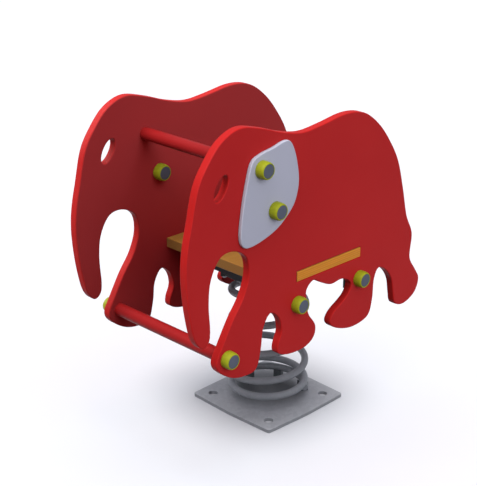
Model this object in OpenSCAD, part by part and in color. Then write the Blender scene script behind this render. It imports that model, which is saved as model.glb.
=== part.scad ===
// Spring rider: two animal-shaped side panels with a seat between them, on one coil spring.
// X runs forward, Y to the rider's left and Z up; the origin is the middle of the base plate's underside.

/* [Base plate] */
// Side of the square base plate
plate_side = 300; // [290:1:340]
// Thickness of the base plate
plate_t = 10; // [8:0.5:16]
// Radius of the base plate's corners
plate_corner_r = 8; // [2:1:20]
// Spacing of the ground anchor holes, both ways
anchor_pitch = 220; // [212:1:236]
// Diameter of a ground anchor hole
anchor_hole_d = 26; // [14:1:28]

/* [Spring] */
// Diameter of the spring wire
wire_d = 20; // [16:0.5:21]
// Distance from the spring's axis to the middle of its wire
coil_r = 103; // [96:1:110]
// Full turns of the spring, besides the part turn that closes its upper end
full_turns = 5; // [4:1:6]
// Gap between the closed first turn of the spring and the turn over it
foot_gap = 1.7; // [1.4:0.1:4]
// Rise of one turn along the working length
work_pitch = 85; // [72:1:95]
// Gap between the wire and what holds it
coil_fit = 0.3; // [0.2:0.05:0.5]

/* [Spring clamps] */
// Length of a clamp along the wire
clamp_l = 22; // [16:1:28]
// Metal left over the wire in a clamp
clamp_roof = 6; // [4:0.5:7]
// Thickness of packing under the lowest point of the wire
packing_t = 19.5; // [16:0.5:24]
// Metal on each side of the wire in a weld pad
pad_cheek = 3; // [2:0.5:6]
// Depth to which a weld pad holds the wire
pad_hold = 5; // [3:0.5:7]
// Gap left between the two halves of a clamp
clamp_pinch = 1; // [0.4:0.1:2]
// Diameter of the clamp bolts
clamp_bolt_d = 8; // [6:1:10]
// Width across the flats of the clamp bolts and nuts
clamp_bolt_af = 13; // [10:0.5:16]
// Height of the clamp bolts' heads
clamp_head_h = 5.3; // [4:0.1:7]
// Height of the clamp bolts' nuts
clamp_nut_h = 6.5; // [5:0.1:8]
// Depth of the tapped holes in the base plate
tap_depth = 7; // [5:0.5:7.5]

/* [Seat frame] */
// Thickness of the round head plate
head_t = 10; // [6:0.5:14]
// Width of a cross rail
rail_w = 40; // [34:1:44]
// Height of a cross rail
rail_h = 45; // [36:1:60]
// Wall of a cross rail
rail_wall = 3; // [2:0.5:4]
// Room between the spring's outside and the middle of a cross rail
rail_room = 8; // [6:1:14]
// Distance of the head plate's bolts from the middle, along a rail
plate_bolt_y = 36; // [28:1:44]
// Width of an end lug
lug_w = 60; // [44:1:62]
// Thickness of an end lug
lug_t = 6; // [4:0.5:10]
// Metal of an end lug below its bolt
lug_edge = 28; // [18:1:32]
// Gap between a rail and the washers of the panel bolts under it
nut_room = 5.5; // [0.5:0.5:8]
// Distance of the seat's bolts from the middle, along a rail
seat_bolt_y = 152; // [145:1:165]

/* [Seat] */
// Length of the seat, front to back
seat_l = 396; // [330:1:420]
// Thickness of the seat
seat_t = 28; // [22:1:36]
// Length of the tab that passes through each panel
tab_l = 246; // [180:1:260]
// Depth of the seat's bolts in the seat
seat_bolt_grip = 18; // [10:1:20]

/* [Side panels] */
// Clear width between the two panels
panel_gap = 390; // [360:1:420]
// Thickness of a panel
panel_t = 23; // [16:1:30]
// Thickness of an ear
ear_t = 11; // [6:1:16]
// Half length of the eye opening
eye_long = 34; // [26:1:38]
// Half width of the eye opening
eye_wide = 17; // [12:1:20]

/* [Bars] */
// Diameter of the hand bar
hand_bar_d = 34; // [28:1:38]
// Diameter of the foot bar
foot_bar_d = 35; // [28:1:40]
// Wall of both bars
bar_wall = 3; // [2:0.5:4]
// Length of the threaded plug in each bar end
plug_l = 34; // [30:1:60]

/* [Panel bolts] */
// Diameter of the panel bolts
bolt_d = 10; // [8:1:10]
// Width across the flats of the panel bolts and nuts
bolt_af = 17; // [13:0.5:17]
// Height of the panel bolts' heads
bolt_head_h = 6.4; // [5:0.1:7]
// Height of the panel bolts' nuts
nut_h = 8; // [6:0.1:9]
// Diameter of the washers
washer_d = 21; // [20:0.5:23]
// Thickness of the washers
washer_t = 2; // [1.5:0.1:2.5]
// Thread that shows past a nut
bolt_tail = 3; // [1:0.5:4]
// Length of bolt in a bar's plug
plug_grip = 24; // [15:1:28]

/* [Bolt caps] */
// Diameter of a cap at the panel
cap_d = 45; // [42:1:50]
// Height of a cap's straight wall, under its round shoulder
cap_wall_h = 10; // [4:1:16]
// Width of a cap's rim round its lid
cap_rim_w = 1.2; // [0.8:0.1:2.5]
// Height of a cap
cap_h = 24; // [23:1:30]
// Thickness of a cap's floor under the bolt head
cap_floor = 4; // [3:0.5:5]
// Diameter of the lid in a cap
lid_d = 35; // [30:0.5:37]
// Thickness of the lid at its edge
lid_t = 4; // [3:0.5:5]

/* [Fits] */
// Gap between each panel and what lies between the panels
side_fit = 0.2; // [0.1:0.05:0.5]
// Gap round a tab in its slot
slot_fit = 0.4; // [0.2:0.1:1]
// Gap round a bolt in a clearance hole
hole_fit = 0.5; // [0.2:0.1:0.8]
// Gap round a thread, a plug or a lid
thread_fit = 0.1; // [0.05:0.05:0.2]

/* [Hidden] */
$fn = 64;
eps = 0.01;

red = [0.66, 0.12, 0.12];
ear_grey = [0.62, 0.62, 0.66];
yellow = [0.76, 0.74, 0.10];
ochre = [0.69, 0.52, 0.15];
steel = [0.48, 0.49, 0.52];
dark = [0.16, 0.16, 0.18];

// Spring: share of turns that lie flat or change pitch, and how finely the wire is swept
wire_r = wire_d / 2;
foot_turns = 0.37;
work_ramp = 1.88;
head_flat = 0.6;
head_ramp = 0.3;
coil_turns = full_turns + 0.925;
start_angle = 135;
turn_rings = 36;
wire_sides = 12;
rings = floor(coil_turns * turn_rings);
step = coil_turns / rings;
foot_z = plate_t + packing_t + coil_fit + wire_r;

function ease(t) = t <= 0 ? 0 : t >= 1 ? 1 : t * t * (3 - 2 * t);
// Share of the working pitch in the first turn, which leaves the rest to the pitch at the foot
open_part = (1 - foot_turns) / work_ramp;
open_share = work_ramp * (pow(open_part, 3) - pow(open_part, 4) / 2);
foot_pitch = (wire_d + foot_gap - work_pitch * open_share) / (1 - open_share);
function pitch_at(u) = foot_pitch + (work_pitch - foot_pitch) * ease((u - foot_turns) / work_ramp)
    - work_pitch * ease((u - coil_turns + head_flat + head_ramp) / head_ramp);
heights = [for (i = 0, z = foot_z; i <= rings; z = z + pitch_at((i + 0.5) * step) * step, i = i + 1) z];
function wire_z(u) = let (k = min(floor(u / step), rings - 1), f = u / step - k)
    heights[k] * (1 - f) + heights[k + 1] * f;
function angle_at(u) = start_angle + 360 * u;
function slope_at(u) = atan(pitch_at(u) / (2 * PI * coil_r));
function radial(u) = [cos(angle_at(u)), sin(angle_at(u)), 0];
function along(u) = let (a = angle_at(u), b = slope_at(u)) [-sin(a) * cos(b), cos(a) * cos(b), sin(b)];
function wire_point(i) = coil_r * radial(i * step) + [0, 0, heights[i]];
function wire_ring(u, p) = let (out = radial(u), up = cross(out, along(u)), turn = 360 / wire_sides)
    [for (k = [0:wire_sides - 1]) p + wire_r * (cos(turn * k) * out + sin(turn * k) * up)];
wire_gap = min([for (i = [0:rings]) for (j = [i + turn_rings / 2:rings])
    norm(wire_point(i) - wire_point(j)) - wire_d]);

// Clamps: turns at which they hold the wire, and the groove they need round the bend
pad_turns = [0.04, 0.2];
base_clamp_turn = 0.36;
base_wire_z = wire_z(base_clamp_turn);
head_clamp_turns = [for (u = [0.375, 0.5, 0.75, 0.83]) full_turns + u];
groove_sag = clamp_l * clamp_l / (8 * coil_r);
groove_ease = 0.5;
groove_r = wire_r + coil_fit + groove_sag / 2 + groove_ease;
clamp_wall = 4;
clamp_bolt_x = groove_r + clamp_wall + clamp_bolt_d / 2;
clamp_w = 2 * (clamp_bolt_x + clamp_bolt_af / 2 + clamp_wall);
clamp_top = groove_r + clamp_roof;

// Stack above the spring
head_z = heights[rings] + wire_r + coil_fit;
rail_z = head_z + head_t;
seat_z = rail_z + rail_h;
seat_top = seat_z + seat_t;
rail_x = coil_r + wire_r + rail_room;
plate_bolt_edge = 11;
head_r = max(norm([rail_x, plate_bolt_y]) + plate_bolt_edge, coil_r + clamp_w / 2 + 2);
panel_y = panel_gap / 2;
face_y = panel_y + panel_t;
rail_l = panel_gap - 2 * side_fit;
bolt_hole_r = bolt_d / 2 + hole_fit;
thread_r = bolt_d / 2 + thread_fit;
clamp_hole_r = clamp_bolt_d / 2 + hole_fit;
clamp_thread_r = clamp_bolt_d / 2 + thread_fit;

// Bolt places on a panel: x forward, then height over the seat's top
hand_at = [265, 307];
ear_at = [218, 193];
foot_at = [370, -158];
frame_drop = seat_t + rail_h + washer_d / 2 + nut_room;
front_at = [rail_x, -frame_drop];
rear_at = [-rail_x, -frame_drop];
lug_z = seat_top - frame_drop - lug_edge;

// Panel outline over the seat's top, clockwise from the trunk's tip, as points of one smooth closed curve
head_line = [[450, -105], [472, -80], [485, -35], [495, 25], [500, 95], [495, 155], [480, 220], [460, 298],
    [430, 348], [385, 395], [325, 417], [255, 403], [180, 378]];
back_line = [[110, 364], [40, 369], [-50, 380], [-120, 369], [-180, 329], [-230, 272], [-270, 206],
    [-297, 120]];
tail_leg = [[-318, 40], [-346, -20], [-342, -90], [-370, -135], [-388, -168], [-372, -207], [-325, -227],
    [-285, -215], [-274, -180], [-265, -138], [-240, -102], [-206, -84]];
hind_leg = [[-188, -112], [-183, -172], [-165, -215], [-105, -227], [-45, -213], [-10, -188], [-22, -160],
    [-75, -128], [-90, -95]];
belly_line = [[-55, -72], [-10, -74], [30, -57], [60, -42], [85, -62]];
mid_leg = [[83, -95], [75, -132], [48, -172], [55, -206], [92, -224], [150, -222], [187, -207], [190, -183],
    [177, -147], [187, -108], [218, -85]];
fore_leg = [[243, -118], [251, -172], [268, -222], [310, -228], [355, -216], [396, -186], [405, -158],
    [385, -120], [350, -62]];
trunk_arch = [[315, -14], [295, 40], [303, 90], [345, 117], [390, 112], [420, 66], [428, 5], [424, -65],
    [430, -95]];
panel_line = concat(head_line, back_line, tail_leg, hind_leg, belly_line, mid_leg, fore_leg, trunk_arch);
ear_line = [[183, 360], [162, 351], [145, 315], [134, 260], [138, 220], [156, 184], [200, 147], [250, 127],
    [300, 118], [325, 126], [333, 155], [326, 215], [312, 280], [295, 329], [265, 344], [225, 351]];
curve_steps = 4;
eye_at = [386, 284];
eye_tilt = 121;
eye_steps = 40;

function curve_point(p, i, t) = let (n = len(p), a = p[(i + n - 1) % n], b = p[i],
    c = p[(i + 1) % n], d = p[(i + 2) % n])
    (2 * b + (c - a) * t + (2 * a - 5 * b + 4 * c - d) * t * t + (3 * b - a - 3 * c + d) * t * t * t) / 2;
function closed_curve(p) = [for (i = [0:len(p) - 1]) for (k = [0:curve_steps - 1])
    curve_point(p, i, k / curve_steps)];
function eye_point(a) = eye_at + [eye_long * cos(a) * cos(eye_tilt) - eye_wide * sin(a) * sin(eye_tilt),
    eye_long * cos(a) * sin(eye_tilt) + eye_wide * sin(a) * cos(eye_tilt)];

echo(str("least gap between turns of the spring, mm: ", wire_gap));

// Shapes that repeat

module hex_prism(across, h) {
    cylinder(h = h, r = across / sqrt(3), $fn = 6);
}

// A bolt whose head sits on z = 0 and whose shank runs down
module hex_bolt(d, across, head, length) {
    hex_prism(across, head);
    translate([0, 0, -length]) cylinder(h = length + eps, d = d);
}

module hex_nut(d, across, h) {
    difference() {
        hex_prism(across, h);
        translate([0, 0, -eps]) cylinder(h = h + 2 * eps, r = d / 2 + thread_fit);
    }
}

module washer() {
    difference() {
        cylinder(h = washer_t, d = washer_d);
        translate([0, 0, -eps]) cylinder(h = washer_t + 2 * eps, r = bolt_hole_r);
    }
}

// Places children on the wire: x outwards, y along the wire's circle, z up
module on_wire(u) {
    rotate([0, 0, angle_at(u)]) translate([coil_r, 0, wire_z(u)]) children();
}

// The room that a bent, rising wire takes in a clamp
module wire_groove(u) {
    translate([-groove_sag / 2, 0, 0]) rotate([90 + slope_at(u), 0, 0])
        cylinder(h = 2 * clamp_l, r = groove_r, center = true);
}

module clamp_block(z0, z1) {
    translate([-clamp_w / 2, -clamp_l / 2, z0]) cube([clamp_w, clamp_l, z1 - z0]);
}

module clamp_holes(r, z0, z1) {
    for (side = [-1, 1]) translate([side * clamp_bolt_x, 0, z0]) cylinder(h = z1 - z0, r = r);
}

// Places children on a panel's outer face at a bolt, with z pointing out of the panel
module at_bolt(place, side, y) {
    translate([place[0], side * y, seat_top + place[1]]) rotate([-side * 90, 0, 0]) children();
}

// Bolts of one panel: the place, and how far the bearing face stands out from the panel
function bolt_stations() = [[hand_at, ear_t], [ear_at, ear_t], [foot_at, 0], [front_at, 0], [rear_at, 0]];

// Base

module base_plate() {
    flat = plate_side - 2 * plate_corner_r;
    color(steel) difference() {
        union() {
            translate([-plate_side / 2, -flat / 2, 0]) cube([plate_side, flat, plate_t]);
            translate([-flat / 2, -plate_side / 2, 0]) cube([flat, plate_side, plate_t]);
            for (x = [-1, 1], y = [-1, 1])
                translate([x * flat / 2, y * flat / 2, 0]) cylinder(h = plate_t, r = plate_corner_r);
        }
        for (x = [-1, 1], y = [-1, 1])
            translate([x * anchor_pitch / 2, y * anchor_pitch / 2, -eps])
                cylinder(h = plate_t + 2 * eps, d = anchor_hole_d);
        on_wire(base_clamp_turn) clamp_holes(clamp_thread_r, plate_t - tap_depth - base_wire_z,
            plate_t + 1 - base_wire_z);
    }
}

// Pads welded to the plate and to the first part of the wire
module base_pads() {
    pad_w = wire_d + 2 * pad_cheek;
    color(steel) for (u = pad_turns) on_wire(u) difference() {
        translate([-pad_w / 2, -clamp_l / 2, plate_t - wire_z(u)])
            cube([pad_w, clamp_l, wire_z(u) - plate_t - wire_r + pad_hold]);
        wire_groove(u);
    }
}

module base_packer() {
    color(steel) on_wire(base_clamp_turn) difference() {
        clamp_block(plate_t - base_wire_z, -clamp_pinch / 2);
        wire_groove(base_clamp_turn);
        clamp_holes(clamp_hole_r, -base_wire_z, wire_r);
    }
}

module base_clamp() {
    color(steel) on_wire(base_clamp_turn) difference() {
        clamp_block(clamp_pinch / 2, clamp_top);
        wire_groove(base_clamp_turn);
        clamp_holes(clamp_hole_r, -wire_r, clamp_top + 1);
    }
}

module base_clamp_bolts() {
    tip_gap = 0.5;
    length = clamp_top + base_wire_z - plate_t + tap_depth - tip_gap;
    color(steel) on_wire(base_clamp_turn) for (side = [-1, 1]) translate([side * clamp_bolt_x, 0, clamp_top])
        hex_bolt(clamp_bolt_d, clamp_bolt_af, clamp_head_h, length);
}

// Spring: one wire swept along its turns, with a short straight run at each end

module coil_spring() {
    first = wire_ring(0, wire_point(0) - wire_d * along(0));
    last = wire_ring(coil_turns, wire_point(rings) + wire_d * along(coil_turns));
    points = concat(first, [for (i = [0:rings]) each wire_ring(i * step, wire_point(i))], last);
    n = wire_sides;
    spans = rings + 2;
    sides = [for (i = [0:spans - 1]) for (k = [0:n - 1])
        let (a = i * n + k, b = i * n + (k + 1) % n) each [[a, b, b + n], [a, b + n, a + n]]];
    ends = [for (k = [1:n - 2]) each [[0, k + 1, k], [spans * n, spans * n + k, spans * n + k + 1]]];
    color(steel) polyhedron(points = points, faces = concat(sides, ends));
}

// Spring head and seat frame

module head_clamps() {
    color(dark) for (u = head_clamp_turns) on_wire(u) difference() {
        clamp_block(-clamp_top, wire_r + coil_fit - clamp_pinch);
        wire_groove(u);
        translate([-groove_sag / 2 - groove_r, -clamp_l, 0]) cube([2 * groove_r, 2 * clamp_l, wire_d]);
        clamp_holes(clamp_hole_r, -wire_d - clamp_roof, wire_d);
    }
}

module head_clamp_bolts() {
    length = clamp_top + wire_r + coil_fit + head_t + clamp_nut_h + bolt_tail;
    color(steel) for (u = head_clamp_turns, side = [-1, 1]) on_wire(u)
        translate([side * clamp_bolt_x, 0, -clamp_top]) mirror([0, 0, 1])
            hex_bolt(clamp_bolt_d, clamp_bolt_af, clamp_head_h, length);
}

module head_clamp_nuts() {
    color(steel) for (u = head_clamp_turns, side = [-1, 1]) on_wire(u)
        translate([side * clamp_bolt_x, 0, rail_z - wire_z(u)])
            hex_nut(clamp_bolt_d, clamp_bolt_af, clamp_nut_h);
}

// Bolts that tie the head plate to the rails, as places in plan
function plate_bolts() = [for (x = [-1, 1]) for (y = [-1, 1]) [x * rail_x, y * plate_bolt_y]];

module head_plate() {
    color(dark) difference() {
        translate([0, 0, head_z]) cylinder(h = head_t, r = head_r, $fn = 96);
        for (u = head_clamp_turns)
            on_wire(u) clamp_holes(clamp_hole_r, head_z - 1 - wire_z(u), rail_z + 1 - wire_z(u));
        for (p = plate_bolts())
            translate([p[0], p[1], head_z - 1]) cylinder(h = head_t + 2, r = clamp_hole_r);
    }
}

module head_plate_bolts() {
    length = head_t + rail_wall + clamp_nut_h + bolt_tail;
    color(steel) for (p = plate_bolts()) translate([p[0], p[1], head_z]) mirror([0, 0, 1])
        hex_bolt(clamp_bolt_d, clamp_bolt_af, clamp_head_h, length);
}

module head_plate_nuts() {
    color(steel) for (p = plate_bolts()) translate([p[0], p[1], rail_z + rail_wall])
        hex_nut(clamp_bolt_d, clamp_bolt_af, clamp_nut_h);
}

// A square tube under the seat with a lug at each end that takes a panel bolt
module cross_rail(x) {
    tube_l = rail_l - 2 * lug_t;
    hollow = [rail_w - 2 * rail_wall, tube_l, rail_h - 2 * rail_wall];
    difference() {
        union() {
            translate([x - rail_w / 2, -tube_l / 2, rail_z]) cube([rail_w, tube_l, rail_h]);
            for (side = [-1, 1])
                translate([x - lug_w / 2, side * (rail_l - lug_t) / 2 - lug_t / 2, lug_z])
                    cube([lug_w, lug_t, seat_z - lug_z]);
        }
        translate([x - hollow[0] / 2, -hollow[1] / 2, rail_z + rail_wall]) cube(hollow);
        for (side = [-1, 1]) {
            translate([x, 0, seat_top - frame_drop]) rotate([90, 0, 0])
                cylinder(h = rail_l + 2, r = bolt_hole_r, center = true);
            translate([x, side * seat_bolt_y, rail_z - 1]) cylinder(h = rail_h + 2, r = clamp_hole_r);
            translate([x, side * plate_bolt_y, rail_z - 1]) cylinder(h = rail_wall + 2, r = clamp_hole_r);
        }
    }
}

module front_rail() {
    color(dark) cross_rail(rail_x);
}

module rear_rail() {
    color(dark) cross_rail(-rail_x);
}

// Seat

module seat_board() {
    wide = panel_gap - 2 * side_fit;
    through = 2 * face_y;
    color(ochre) difference() {
        union() {
            translate([-seat_l / 2, -wide / 2, seat_z]) cube([seat_l, wide, seat_t]);
            translate([-tab_l / 2, -through / 2, seat_z]) cube([tab_l, through, seat_t]);
        }
        for (x = [-1, 1], y = [-1, 1])
            translate([x * rail_x, y * seat_bolt_y, seat_z - 1])
                cylinder(h = seat_bolt_grip + 2, r = clamp_thread_r);
    }
}

module seat_bolts() {
    color(steel) for (x = [-1, 1], y = [-1, 1])
        translate([x * rail_x, y * seat_bolt_y, rail_z]) mirror([0, 0, 1])
            hex_bolt(clamp_bolt_d, clamp_bolt_af, clamp_head_h, rail_h + seat_bolt_grip);
}

// Side panels and ears

module panel(side) {
    color(red) difference() {
        translate([0, side * (panel_y + panel_t / 2) + panel_t / 2, seat_top]) rotate([90, 0, 0])
            linear_extrude(height = panel_t) difference() {
                polygon(closed_curve(panel_line));
                polygon([for (k = [0:eye_steps - 1]) eye_point(360 * k / eye_steps)]);
                translate([-tab_l / 2 - slot_fit, -seat_t - slot_fit])
                    square([tab_l + 2 * slot_fit, seat_t + 2 * slot_fit]);
            }
        for (s = bolt_stations()) at_bolt(s[0], side, panel_y - 1) cylinder(h = panel_t + 2, r = bolt_hole_r);
    }
}

module left_panel() {
    panel(1);
}

module right_panel() {
    panel(-1);
}

module ear(side) {
    color(ear_grey) difference() {
        translate([0, side * (face_y + ear_t / 2) + ear_t / 2, seat_top]) rotate([90, 0, 0])
            linear_extrude(height = ear_t) polygon(closed_curve(ear_line));
        for (p = [hand_at, ear_at]) at_bolt(p, side, face_y - 1) cylinder(h = ear_t + 2, r = bolt_hole_r);
    }
}

module left_ear() {
    ear(1);
}

module right_ear() {
    ear(-1);
}

// Bars between the panels

module bar(place, d) {
    translate([place[0], 0, seat_top + place[1]]) rotate([90, 0, 0]) difference() {
        cylinder(h = rail_l, d = d, center = true);
        cylinder(h = rail_l + 2, d = d - 2 * bar_wall, center = true);
    }
}

module bar_plugs(place, d) {
    for (side = [-1, 1]) at_bolt(place, side, rail_l / 2) translate([0, 0, -plug_l]) difference() {
        cylinder(h = plug_l, r = d / 2 - bar_wall - thread_fit);
        translate([0, 0, plug_l - plug_grip - 2]) cylinder(h = plug_grip + 3, r = thread_r);
    }
}

module hand_bar() {
    color(red) bar(hand_at, hand_bar_d);
}

module hand_bar_plugs() {
    color(steel) bar_plugs(hand_at, hand_bar_d);
}

module foot_bar() {
    color(red) bar(foot_at, foot_bar_d);
}

module foot_bar_plugs() {
    color(steel) bar_plugs(foot_at, foot_bar_d);
}

// Panel bolts: each head sits on a washer on the floor of its cap

head_seat = cap_floor + washer_t;

module panel_bolt(place, side, ear_under, length) {
    at_bolt(place, side, face_y + ear_under + head_seat) hex_bolt(bolt_d, bolt_af, bolt_head_h, length);
}

module hand_bar_bolts() {
    color(steel) for (side = [-1, 1])
        panel_bolt(hand_at, side, ear_t, head_seat + ear_t + panel_t + side_fit + plug_grip);
}

module foot_bar_bolts() {
    color(steel) for (side = [-1, 1])
        panel_bolt(foot_at, side, 0, head_seat + panel_t + side_fit + plug_grip);
}

module ear_bolts() {
    color(steel) for (side = [-1, 1])
        panel_bolt(ear_at, side, ear_t, 2 * head_seat + ear_t + panel_t + nut_h + bolt_tail);
}

module ear_nuts() {
    color(steel) for (side = [-1, 1]) at_bolt(ear_at, side, panel_y - head_seat - nut_h)
        hex_nut(bolt_d, bolt_af, nut_h);
}

// Inner side of a lug, where the frame bolts' nuts sit
lug_inner_y = rail_l / 2 - lug_t;

module frame_bolts() {
    length = face_y + head_seat - lug_inner_y + washer_t + nut_h + bolt_tail;
    color(steel) for (side = [-1, 1], p = [front_at, rear_at]) panel_bolt(p, side, 0, length);
}

module frame_nuts() {
    color(steel) for (side = [-1, 1], p = [front_at, rear_at])
        at_bolt(p, side, lug_inner_y - washer_t - nut_h) hex_nut(bolt_d, bolt_af, nut_h);
}

module bolt_washers() {
    color(steel) for (side = [-1, 1]) {
        for (s = bolt_stations()) at_bolt(s[0], side, face_y + s[1] + cap_floor) washer();
        at_bolt(ear_at, side, panel_y - head_seat) washer();
        for (p = [front_at, rear_at]) at_bolt(p, side, lug_inner_y - washer_t) washer();
    }
}

// Bolt caps: a tapered ring with a floor under the bolt head, closed by a lid

lid_drop = 0.6;
lid_z = cap_h - lid_drop - lid_t;

module cap_ring() {
    room_r = washer_d / 2 + 1;
    lid_r = lid_d / 2 + thread_fit;
    rim_r = lid_r + cap_rim_w;
    shoulder_steps = 8;
    shoulder = [for (k = [0:shoulder_steps]) let (a = 90 * k / shoulder_steps)
        [rim_r + (cap_d / 2 - rim_r) * cos(a), cap_wall_h + (cap_h - cap_wall_h) * sin(a)]];
    rotate_extrude() polygon(concat([[bolt_hole_r, 0], [cap_d / 2, 0]], shoulder, [[lid_r, cap_h],
        [lid_r, lid_z], [room_r, lid_z], [room_r, cap_floor], [bolt_hole_r, cap_floor]]));
}

module cap_lid() {
    crown = 0.6;
    crown_r = lid_d / 2 - 2;
    rotate_extrude() polygon([[0, lid_z], [lid_d / 2, lid_z], [lid_d / 2, lid_z + lid_t],
        [crown_r, lid_z + lid_t + crown], [0, lid_z + lid_t + crown]]);
}

// Puts children on every bolt of one panel, and over the nut on the inside of its ear bolt
module each_cap(side) {
    for (s = bolt_stations()) at_bolt(s[0], side, face_y + s[1]) children();
    at_bolt(ear_at, side, panel_y) mirror([0, 0, 1]) children();
}

module left_cap_rings() {
    color(yellow) each_cap(1) cap_ring();
}

module right_cap_rings() {
    color(yellow) each_cap(-1) cap_ring();
}

module left_cap_lids() {
    color(steel) each_cap(1) cap_lid();
}

module right_cap_lids() {
    color(steel) each_cap(-1) cap_lid();
}

base_plate();
base_pads();
base_packer();
base_clamp();
base_clamp_bolts();
coil_spring();
head_clamps();
head_clamp_bolts();
head_clamp_nuts();
head_plate();
head_plate_bolts();
head_plate_nuts();
front_rail();
rear_rail();
seat_board();
seat_bolts();
left_panel();
right_panel();
left_ear();
right_ear();
hand_bar();
hand_bar_plugs();
foot_bar();
foot_bar_plugs();
hand_bar_bolts();
foot_bar_bolts();
ear_bolts();
ear_nuts();
frame_bolts();
frame_nuts();
bolt_washers();
left_cap_rings();
right_cap_rings();
left_cap_lids();
right_cap_lids();
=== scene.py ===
import math

import bmesh
import bpy
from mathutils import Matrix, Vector


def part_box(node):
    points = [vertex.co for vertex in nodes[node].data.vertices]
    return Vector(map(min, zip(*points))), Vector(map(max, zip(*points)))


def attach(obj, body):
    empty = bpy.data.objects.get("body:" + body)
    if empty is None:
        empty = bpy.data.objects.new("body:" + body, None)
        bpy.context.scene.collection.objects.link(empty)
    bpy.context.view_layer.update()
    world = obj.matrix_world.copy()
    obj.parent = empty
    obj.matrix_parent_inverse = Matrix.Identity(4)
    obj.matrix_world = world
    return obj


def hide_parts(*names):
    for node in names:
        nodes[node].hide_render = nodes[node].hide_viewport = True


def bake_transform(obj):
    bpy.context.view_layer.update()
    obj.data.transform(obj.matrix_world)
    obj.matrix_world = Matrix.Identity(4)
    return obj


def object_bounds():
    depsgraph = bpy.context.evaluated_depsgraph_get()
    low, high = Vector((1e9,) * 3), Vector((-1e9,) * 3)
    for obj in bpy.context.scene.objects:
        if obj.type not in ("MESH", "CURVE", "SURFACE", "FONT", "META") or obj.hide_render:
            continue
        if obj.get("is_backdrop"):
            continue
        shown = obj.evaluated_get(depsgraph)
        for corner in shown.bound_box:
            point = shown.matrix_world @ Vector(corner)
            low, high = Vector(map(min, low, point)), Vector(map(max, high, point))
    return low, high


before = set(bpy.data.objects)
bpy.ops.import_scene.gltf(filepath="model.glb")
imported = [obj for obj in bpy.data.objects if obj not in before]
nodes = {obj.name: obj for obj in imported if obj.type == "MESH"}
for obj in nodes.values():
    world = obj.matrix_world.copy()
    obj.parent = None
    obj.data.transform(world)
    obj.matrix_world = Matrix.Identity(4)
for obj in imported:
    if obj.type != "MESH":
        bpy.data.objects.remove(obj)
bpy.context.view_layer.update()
mm = 0.001
yAxis, zAxis = 1, 2


# small helpers for node trees

def put(tree, kind, inputs=None, **props):
    node = tree.nodes.new(kind)
    for key, value in props.items():
        setattr(node, key, value)
    for key, value in (inputs or {}).items():
        if isinstance(value, bpy.types.NodeSocket):
            tree.links.new(value, node.inputs[key])
        else:
            node.inputs[key].default_value = value
    return node


def calc(tree, operation, a, b=0.0, clamp=False):
    return put(tree, "ShaderNodeMath", {0: a, 1: b}, operation=operation, use_clamp=clamp).outputs[0]


def spread(tree, value, low, high, toLow, toHigh):
    names = ("From Min", "From Max", "To Min", "To Max")
    sizes = dict(zip(names, (low, high, toLow, toHigh)))
    return put(tree, "ShaderNodeMapRange", {"Value": value, **sizes}).outputs["Result"]


noiseLow, noiseHigh = 0.3, 0.7  # most of a noise lies between these


def noise(tree, where, scale, detail=2.0, rough=0.5):
    sizes = {"Vector": where, "Scale": scale, "Detail": detail, "Roughness": rough}
    return put(tree, "ShaderNodeTexNoise", sizes).outputs[0]


def fromNoise(tree, value, toLow=0.0, toHigh=1.0):
    return spread(tree, value, noiseLow, noiseHigh, toLow, toHigh)


def mixOf(tree, a, shareA, b, shareB):
    return calc(tree, "ADD", calc(tree, "MULTIPLY", a, shareA), calc(tree, "MULTIPLY", b, shareB))


def chance(tree, low, high, seed):
    sizes = {2: low, 3: high, "Seed": seed}  # 2 and 3 are the float sockets
    return put(tree, "FunctionNodeRandomValue", sizes, data_type="FLOAT").outputs[1]


mixFirst, mixSecond, mixResult = 6, 7, 2  # the mix node's colour sockets


def blendColour(tree, amount, a, b):
    node = put(tree, "ShaderNodeMix", {"Factor": amount}, data_type="RGBA")
    for socket, value in ((node.inputs[mixFirst], a), (node.inputs[mixSecond], b)):
        if isinstance(value, bpy.types.NodeSocket):
            tree.links.new(value, socket)
        else:
            socket.default_value = (*value, 1.0)
    return node.outputs[mixResult]


def stretched(tree, where, scale):
    return put(tree, "ShaderNodeMapping", {"Vector": where, "Scale": scale}).outputs[0]


def marked(tree, name):  # a value that is kept on the faces
    return put(tree, "ShaderNodeAttribute", attribute_name=name).outputs["Fac"]


def startFinish(name, **constants):
    material = bpy.data.materials.new(name)
    material.use_nodes = True
    tree = material.node_tree
    tree.nodes.clear()
    shader = put(tree, "ShaderNodeBsdfPrincipled", constants)
    put(tree, "ShaderNodeOutputMaterial", {"Surface": shader.outputs[0]})
    where = put(tree, "ShaderNodeTexCoord").outputs["Object"]
    return material, tree, shader, where


def bump(tree, shader, height, depth):
    node = put(tree, "ShaderNodeBump", {"Height": height, "Distance": depth, "Strength": 1.0})
    tree.links.new(node.outputs[0], shader.inputs["Normal"])


# finish of the painted boards

boardGrain = {"tone": 4.0, "cutter": (60, 1400, 60), "cutterLeast": 0.35, "scuff": (5, 5, 170), "scuffFrom": 0.66,
              "scuffFull": 0.74, "peelSwing": 0.05, "scuffRough": 0.5}


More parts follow.
